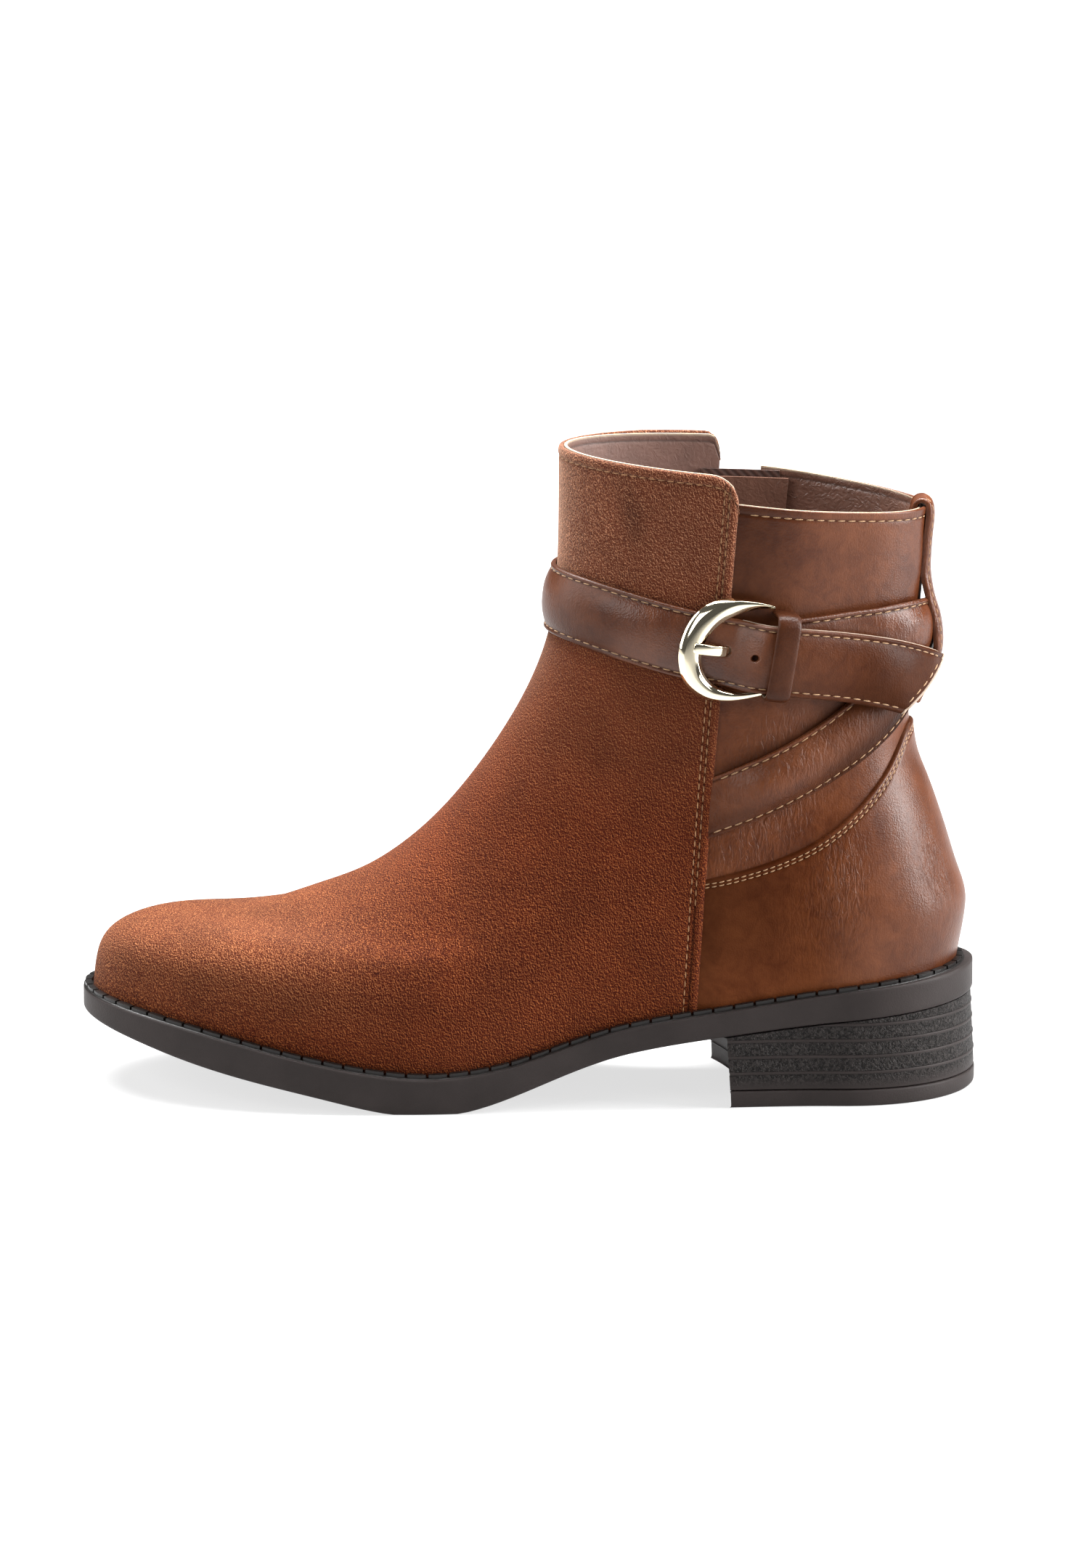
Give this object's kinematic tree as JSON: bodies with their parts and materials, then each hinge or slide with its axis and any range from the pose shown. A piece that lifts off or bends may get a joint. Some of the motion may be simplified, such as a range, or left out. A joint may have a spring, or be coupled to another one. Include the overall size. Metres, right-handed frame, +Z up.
{
  "type": "ankle boot",
  "caption": "Left ankle boot with a hollow suede front, leather back, crossed straps with a buckle, a side zip, a curved low sole and a ribbed block heel.",
  "frame": {"origin": "on the floor, under the middle of the boot's box", "axes": "+X from toe to heel, +Y to the inner side of the foot where the zip is, +Z up"},
  "size_m": [0.2656, 0.0918, 0.192],
  "materials": {
    "sole_rubber": "dark, fine grain, low gloss",
    "suede": "brushed suede, matt",
    "burnished_leather": "waxed full grain, soft sheen",
    "insole_leather": "smooth lining leather, matt",
    "pale_gold": "polished",
    "zip_fabric": "woven tape",
    "zip_brass": "satin"
  },
  "bodies": {
    "boot": {"outsole": "sole_rubber", "welt": "sole_rubber", "heel_stack": "sole_rubber", "top_lift": "sole_rubber", "insole": "insole_leather", "upper": "suede", "counter": "burnished_leather", "strap_front": "burnished_leather", "strap_low": "burnished_leather", "strap_buckle": "burnished_leather", "buckle_tab": "burnished_leather", "keeper": "burnished_leather", "back_loop": "burnished_leather", "buckle_frame": "pale_gold", "buckle_prong": "pale_gold", "zip_tape": "zip_fabric", "zip_guard": "insole_leather", "zip_chain": "zip_brass", "zip_slider": "zip_brass"},
    "pull_tab": {"zip_pull": "zip_brass"}
  },
  "joints": [
    {"name": "pull_tab_hinge", "type": "hinge", "parent": "boot", "child": "pull_tab", "pos_m": [0.06174, 0.03332, 0.16759], "axis": [0.9984, 0.0564, 0], "range_deg": [0, 150]}
  ]
}
